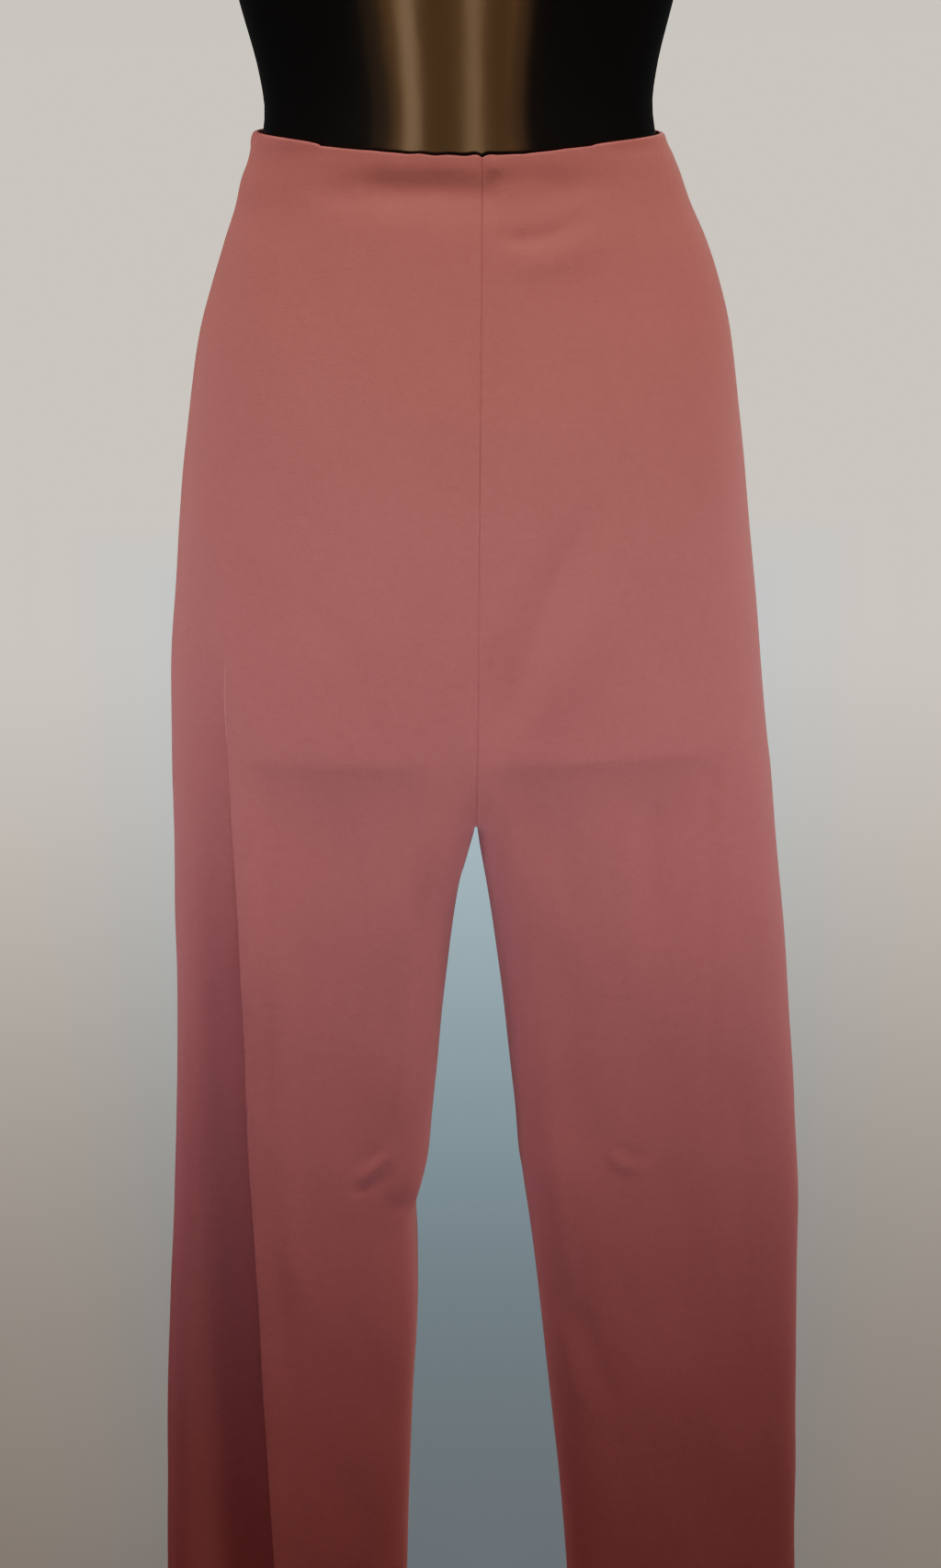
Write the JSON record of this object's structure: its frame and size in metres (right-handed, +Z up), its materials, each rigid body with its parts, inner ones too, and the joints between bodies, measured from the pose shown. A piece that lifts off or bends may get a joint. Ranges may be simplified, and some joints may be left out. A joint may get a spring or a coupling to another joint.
{
  "type": "dress trousers on a limbless display torso form with a pole stand",
  "caption": "High-waisted straight-leg pull-on dress trousers in matt crepe, hanging hollow on a black torso form with a plain pole and plate stand.",
  "frame": {"origin": "on the floor, under the middle of the base plate's box", "axes": "+Z up, the garment's front faces -Y, the wearer's left side at +X"},
  "size_m": [0.46, 0.3, 1.68],
  "materials": {
    "crepe": "smooth matt stretch crepe, dusty rose",
    "form_plastic": "glossy black moulded plastic",
    "pole_steel": "brushed steel",
    "base_steel": "satin steel plate"
  },
  "bodies": {
    "root": {"front_right": "crepe", "front_left": "crepe", "back_right": "crepe", "back_left": "crepe", "form_torso": "form_plastic", "stand_pole": "pole_steel", "stand_flange": "pole_steel", "stand_collar": "pole_steel", "stand_base": "base_steel"}
  },
  "joints": []
}
